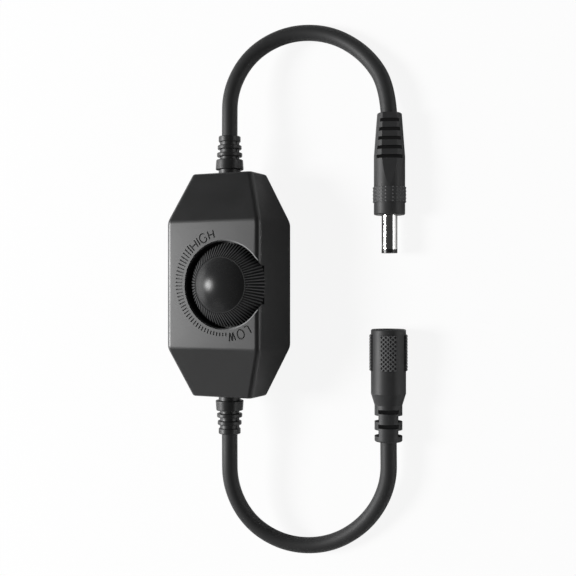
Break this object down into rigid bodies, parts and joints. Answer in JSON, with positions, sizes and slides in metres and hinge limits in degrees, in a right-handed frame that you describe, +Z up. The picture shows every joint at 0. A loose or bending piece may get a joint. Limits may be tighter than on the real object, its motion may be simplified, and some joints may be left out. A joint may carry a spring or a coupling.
{
  "type": "rotary cord dimmer",
  "caption": "Black faceted in-line dimmer with a ridged thumbwheel knob, ribbed cord boots and short cords that end in a barrel plug and a barrel jack.",
  "frame": {"origin": "centre of the casing's flat back face", "axes": "+X across the casing to the side where the knob shows through, +Y along the cord axis to the plug's end, +Z up along the knob's axis"},
  "size_m": [0.0836, 0.1911, 0.0329],
  "materials": {
    "casing_plastic": "fine matt spark-eroded texture, black",
    "knob_plastic": "smooth satin black",
    "soft_vinyl": "soft matt black vinyl",
    "connector_plastic": "black moulded",
    "plated_metal": "bright nickel plate",
    "contact_brass": "bare sprung brass",
    "steel": "zinc-plated",
    "cast_zinc": "die-cast",
    "phenolic": "brown phenolic",
    "board_laminate": "green solder mask",
    "component_plastic": "moulded epoxy",
    "chip_ceramic": "fired ceramic",
    "capacitor_sleeve": "shrunk sleeve",
    "red_insulation": "vinyl",
    "black_insulation": "vinyl"
  },
  "bodies": {
    "base": {"front_housing": "casing_plastic", "rear_housing": "casing_plastic", "output_boot": "soft_vinyl", "input_boot": "soft_vinyl", "plug_overmold": "soft_vinyl", "jack_overmold": "soft_vinyl", "output_cord": "soft_vinyl", "input_cord": "soft_vinyl", "plug_insulator": "connector_plastic", "jack_insert": "connector_plastic", "plug_barrel": "plated_metal", "jack_pin": "plated_metal", "plug_inner_contact": "contact_brass", "jack_spring": "contact_brass", "housing_screws": "steel", "pot_nut": "steel", "pot_washer": "steel", "pot_cover": "steel", "pot_terminals": "steel", "solder_joints": "steel", "pot_bushing": "cast_zinc", "pot_wafer": "phenolic", "circuit_board": "board_laminate", "power_transistor": "component_plastic", "timer_chip": "component_plastic", "flyback_diode": "component_plastic", "chip_resistors": "component_plastic", "chip_capacitors": "chip_ceramic", "electrolytic_capacitor": "capacitor_sleeve", "output_red_wire": "red_insulation", "input_red_wire": "red_insulation", "output_black_wire": "black_insulation", "input_black_wire": "black_insulation"},
    "knob": {"dimmer_knob": "knob_plastic", "pot_shaft": "steel", "pot_rotor": "phenolic", "pot_wiper": "contact_brass"}
  },
  "joints": [
    {"name": "knob_turn", "type": "hinge", "parent": "base", "child": "knob", "pos_m": [0.0048, 0, 0.0239], "axis": [0, 0, 1], "range_deg": [-150, 150]}
  ]
}
